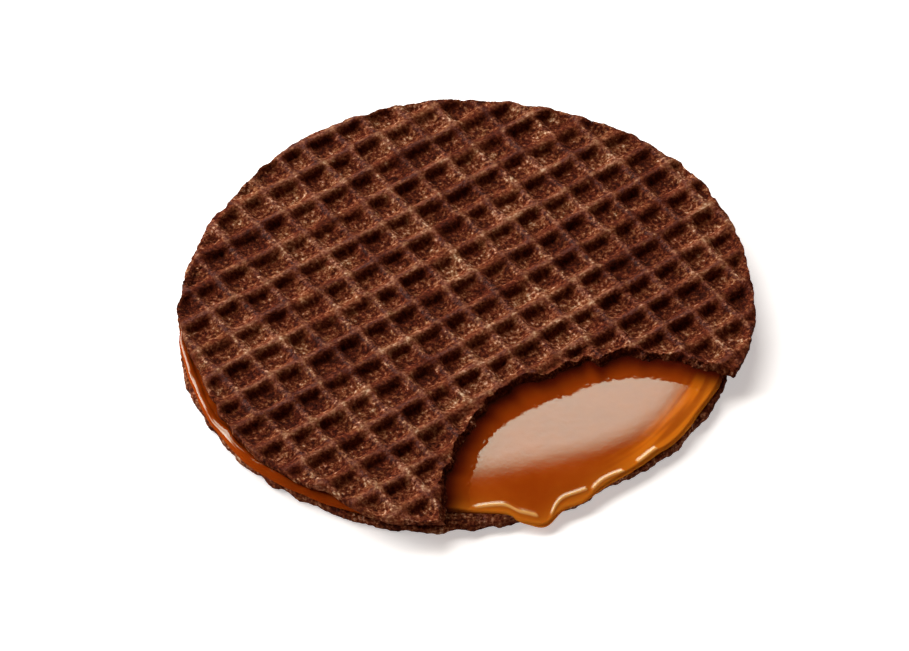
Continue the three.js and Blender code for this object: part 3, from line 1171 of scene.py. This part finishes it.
def wafer_material(
        name, ground, on_long, on_crossing, on_knots, on_line, speckle, drawn, at_break, smooth_flank):
    """Crumb whose shade depends on the ridge it is on, with less speckle where it is pressed smooth."""
    material, tree, shader = start_material(name)
    # The crests are painted paler, partly for wear and partly as a painted highlight, and the floors
    # stay darkest as painted shade.
    long_crest_wear_and_highlight = ramp(tree, read_value(tree, "long_ridge"), 0.65, 1.0)
    crossing_crest_wear_and_highlight = ramp(tree, read_value(tree, "crossing_ridge"), 0.45, 0.95)
    browned = use_group(tree, blotches, Size=7.0, Contrast=0.8)
    fine = use_group(tree, blotches, Size=0.65, Contrast=0.9)
    warmth = use_group(tree, blotches, Size=2.4, Contrast=0.9)
    lines_across = use_group(tree, drawn_lines, Along=0.5, Across=2.6)
    lines_along = use_group(tree, drawn_lines, Along=3.0, Across=0.6)
    smoothed = calculate(tree, "MULTIPLY", read_value(tree, "smoothed"), smooth_flank)
    # On the long crests the lines run along the ridge, and everywhere else across it.
    other_way = calculate(tree, "SUBTRACT", lines_along, lines_across)
    lines = add_part(tree, lines_across, other_way, long_crest_wear_and_highlight)
    # A thin pale line runs along some of the crossing crests:
    # partly rubbed wear, partly a painted highlight.
    pale_line_places = ramp(tree, warmth, 0.2, 0.9)
    shade = ground
    for value, share in (
        (long_crest_wear_and_highlight, on_long),
        (crossing_crest_wear_and_highlight, on_crossing),
        (calculate(tree, "MULTIPLY", long_crest_wear_and_highlight, crossing_crest_wear_and_highlight), on_knots),
        (ramp(tree, browned, 0.0, 1.0, -1.0, 1.0), browning),
        (calculate(tree, "SUBTRACT", fine, 0.5), calculate(tree, "SUBTRACT", speckle, smoothed)),
        (ramp(tree, lines, 0.0, 1.0, -1.0, 1.0), drawn),
        (calculate(tree, "MULTIPLY", read_value(tree, "crest_line"), pale_line_places), on_line),
        # Near the bite, where the crumb is torn, the shade is lowered a little.
        (read_value(tree, "torn"), at_break),
    ):
        shade = add_part(tree, shade, value, share)
    # Some patches are redder and some more golden, as the sugar browned more or less.
    warmth_tint = blend(tree, ramp(tree, warmth, 0.0, 1.0), (1.0, 0.88, 0.84, 1), (1.0, 1.12, 1.0, 1))
    painted = shades(tree, shade, crumb_shades)
    feed(tree, shader.inputs["Base Color"], blend(tree, 1.0, painted, warmth_tint, "MULTIPLY"))
    rubbed = calculate(tree, "MAXIMUM", long_crest_wear_and_highlight, crossing_crest_wear_and_highlight)
    feed(tree, shader.inputs["Roughness"], ramp(tree, rubbed, 0.0, 1.0, 0.9, 0.42))
    coarse_grain = use_group(tree, grain, Size=0.75, Pits=0.4)
    fine_grain = use_group(tree, grain, Size=0.35, Pits=0.7)
    height = add_part(tree, coarse_grain, fine_grain, 0.6)
    # The bump is faded out towards its own mean, so that smooth parts don't tilt at their edges.
    rough = calculate(tree, "SUBTRACT", 1.0, smoothed)
    height = calculate(tree, "MULTIPLY", calculate(tree, "SUBTRACT", height, grain_mean), rough)
    bump = put(tree, "Bump", {"Height": height, "Distance": 0.22 * mm, "Strength": 1.0})
    feed(tree, shader.inputs["Normal"], bump.outputs["Normal"])
    shader.inputs["Specular IOR Level"].default_value = 0.06
    return material


upper.data.materials.clear()
upper.data.materials.append(wafer_material(
    "baked_cocoa_wafer",
    ground=0.415, on_long=0.12, on_crossing=0.04, on_knots=0.08, on_line=0.14,
    speckle=0.95, drawn=0.1, at_break=-0.05, smooth_flank=0.45,
))
lower.data.materials.clear()
lower.data.materials.append(wafer_material(
    "crumbly_cocoa_wafer",
    ground=0.455, on_long=0.05, on_crossing=0.05, on_knots=0.0, on_line=0.0,
    speckle=0.85, drawn=0.06, at_break=0.0, smooth_flank=0.1,
))
print("wafers painted")

# %% [markdown]
# ## Caramel
#
# Soft caramel is a cloudy syrup: light goes in, wanders and comes out orange, and the skin is
# as smooth as glass. Glass with coloured depth would be too clear, so the light is scattered
# under the surface instead. Thin edges let more light through and turn gold. The fold crests are
# painted paler, a painted highlight. Against the broken wafer, and along the bead between the
# wafers, the caramel is painted darker: painted shade.

# %% Tell each point of the caramel what it is
edge_glow_run = 1.6
wall_run, wall_power = 2.8, 1.9
bead_shade_left, bead_shade_more = 0.15, 0.18
bead_shade_from, bead_shade_run = -145, 20

caramel_places = points_of(caramel)
caramel_angle, caramel_distance = around(caramel_places, lower_wafer["centre"])
caramel_reach = caramel_edge(caramel_angle)["reach"]
edge_glow = np.exp(-(caramel_reach - caramel_distance) / edge_glow_run)
add_value(caramel, "edge", edge_glow * stretch(caramel_angle, caramel_lip))
# Painted shade: towards the broken wafer, and along the bead that lies between the wafers, the caramel
# is painted darker. The wall value carries it.
from_break = np.maximum(inside_bite(caramel_places) + bite_foot, 0)
wall_shade = np.exp(-(from_break / wall_run) ** wall_power)
on_bead = stretch(caramel_angle, caramel_bead)
along_bead = smooth((np.degrees(caramel_angle) - bead_shade_from) / bead_shade_run)
bead_shade = bead_shade_left + bead_shade_more * along_bead
add_value(caramel, "wall", wall_shade * (1 - on_bead) + bead_shade * on_bead)
from_lip = (1 - caramel_distance / caramel_reach) * mean_reach
# The fold value also places a painted highlight along the fold crests.
add_value(caramel, "fold", folded_lip(caramel_angle, from_lip))

# Where it creeps slowly to the right-hand corner, the caramel shows the lines of its flow.
flow_part = {"from": -52, "to": -12, "fade": 9}
flow_start, flow_run = 42.5, 3.0
flow_draw = 12.0
flow_place = np.column_stack([
    caramel_distance, caramel_angle * caramel_distance / flow_draw, np.zeros(len(caramel_angle)),
])
flow_lines = smooth(0.45 + 0.9 * crumb(flow_place, 1.1, 111, 2))
flow_share = stretch(caramel_angle, flow_part) * smooth((caramel_distance - flow_start) / flow_run)
add_value(caramel, "flow", flow_lines * flow_share)
print("caramel described, share of flow", round(float(flow_share.mean()), 3))

# %% Paint the caramel
deep_syrup, clouded_syrup = (0.27, 0.036, 0.0012, 1), (0.335, 0.052, 0.0018, 1)
drawn_syrup = (0.6, 0.14, 0.004, 1)
thin_syrup, thin_share = (0.6, 0.19, 0.012, 1), 0.8
# The pale colour of the painted highlight on the fold crests.
fold_highlight_syrup, fold_highlight_share = (0.85, 0.5, 0.16, 1), 0.55
# The caramel's colour in shadow, painted in where it lies against the wafers.
shaded_syrup = (0.062, 0.0035, 0.0006, 1)

skin, syrup, syrup_shader = start_material("soft_caramel")
clouds = use_group(syrup, blotches, Size=6.0, Contrast=0.7)
body_colour = blend(syrup, clouds, deep_syrup, clouded_syrup)
body_colour = blend(syrup, read_value(syrup, "flow"), body_colour, drawn_syrup)
edge_share = calculate(syrup, "MULTIPLY", read_value(syrup, "edge"), thin_share)
body_colour = blend(syrup, edge_share, body_colour, thin_syrup)
# The fold crests are painted paler: a painted highlight.
fold_highlight_mask = ramp(syrup, read_value(syrup, "fold"), 0.3, 1.0)
fold_highlight_amount = calculate(syrup, "MULTIPLY", fold_highlight_mask, fold_highlight_share)
body_colour = blend(syrup, fold_highlight_amount, body_colour, fold_highlight_syrup)
# Painted shade: the caramel darkens towards its shadow colour by the wall value.
body_colour = blend(syrup, read_value(syrup, "wall"), body_colour, shaded_syrup)
feed(syrup, syrup_shader.inputs["Base Color"], body_colour)
set_inputs(syrup_shader, {
    "Subsurface Weight": 0.35,
    "Subsurface Radius": (1.0, 0.3, 0.08),
    "Subsurface Scale": 0.9 * mm,
    "IOR": 1.5,
    "Specular IOR Level": 0.48,
    "Specular Tint": (0.7, 1.0, 0.82, 1),
})
feed(syrup, syrup_shader.inputs["Roughness"], ramp(syrup, clouds, 0.0, 1.0, 0.04, 0.1))
ripple = use_group(syrup, blotches, Size=1.5, Contrast=0.5)
skin_bump = put(syrup, "Bump", {"Height": ripple, "Distance": 0.01 * mm, "Strength": 1.0})
feed(syrup, syrup_shader.inputs["Normal"], skin_bump.outputs["Normal"])
caramel.data.materials.append(skin)
print("caramel painted")
